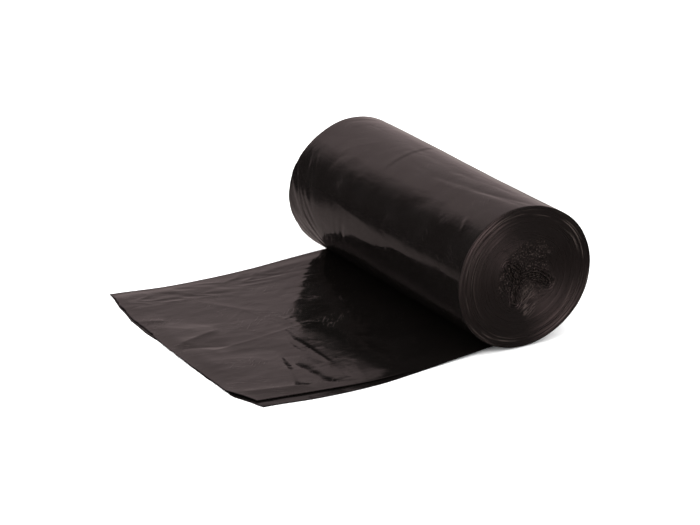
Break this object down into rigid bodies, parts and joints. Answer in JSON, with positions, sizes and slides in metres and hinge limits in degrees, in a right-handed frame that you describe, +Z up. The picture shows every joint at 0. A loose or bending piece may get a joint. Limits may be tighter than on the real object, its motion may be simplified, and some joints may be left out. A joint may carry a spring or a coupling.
{
  "type": "bin bag roll",
  "caption": "Coreless roll of black refuse sacks, wound from one folded web, with the free end of its outer bag pulled out flat.",
  "frame": {"origin": "middle of the footprint, on the surface that the roll and its free end lie on", "axes": "+Z up; the roll's axis runs along Y, with the open edges of the folded web at -Y and its fold at +Y; the free end lies towards -X"},
  "size_m": [0.2686, 0.25, 0.1055],
  "materials": {
    "film": "soft gloss black polythene film, crinkled"
  },
  "bodies": {
    "root": {"bag_roll": "film"}
  },
  "joints": []
}
